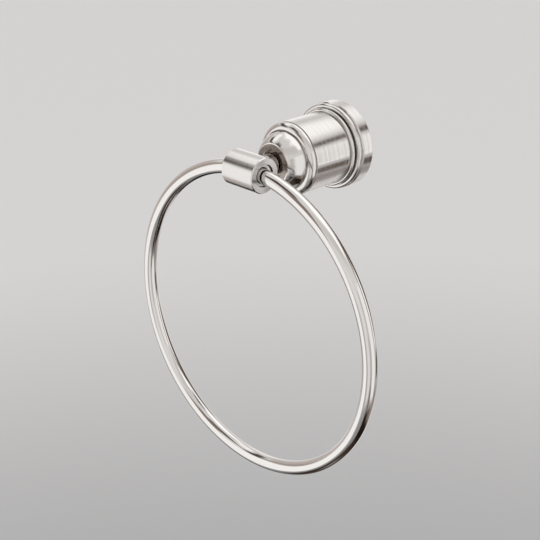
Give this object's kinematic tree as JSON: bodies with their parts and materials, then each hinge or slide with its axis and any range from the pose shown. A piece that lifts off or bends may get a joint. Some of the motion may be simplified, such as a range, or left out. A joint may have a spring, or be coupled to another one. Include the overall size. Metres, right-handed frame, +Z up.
{
  "type": "towel ring",
  "caption": "Wall-mounted towel ring: a turned bell-shaped post carries a cross barrel, and a round rod hoop swings in the barrel's bushes.",
  "frame": {"origin": "centre of the flange and bracket on the wall plane", "axes": "+Z up, +Y into the wall, +X along the cross barrel"},
  "size_m": [0.184, 0.081, 0.2041],
  "materials": {
    "satin_nickel": "brushed nickel plate",
    "polished_nickel": "polished nickel plate",
    "nylon": "moulded natural nylon",
    "zinc": "die-cast zinc",
    "screw_steel": "stainless screw steel"
  },
  "bodies": {
    "post": {"wall_flange": "satin_nickel", "bell_body": "satin_nickel", "wall_bracket": "zinc", "grub_screw": "screw_steel", "stem": "polished_nickel", "stem_screw": "screw_steel", "spring_washer": "screw_steel", "cross_barrel": "satin_nickel", "bush_left": "nylon", "bush_right": "nylon"},
    "ring": {"hoop": "polished_nickel"}
  },
  "joints": [
    {"name": "ring_swing", "type": "hinge", "parent": "post", "child": "ring", "pos_m": [0, -0.0712, 0], "axis": [-1, 0, 0], "range_deg": [-22, 202]}
  ]
}
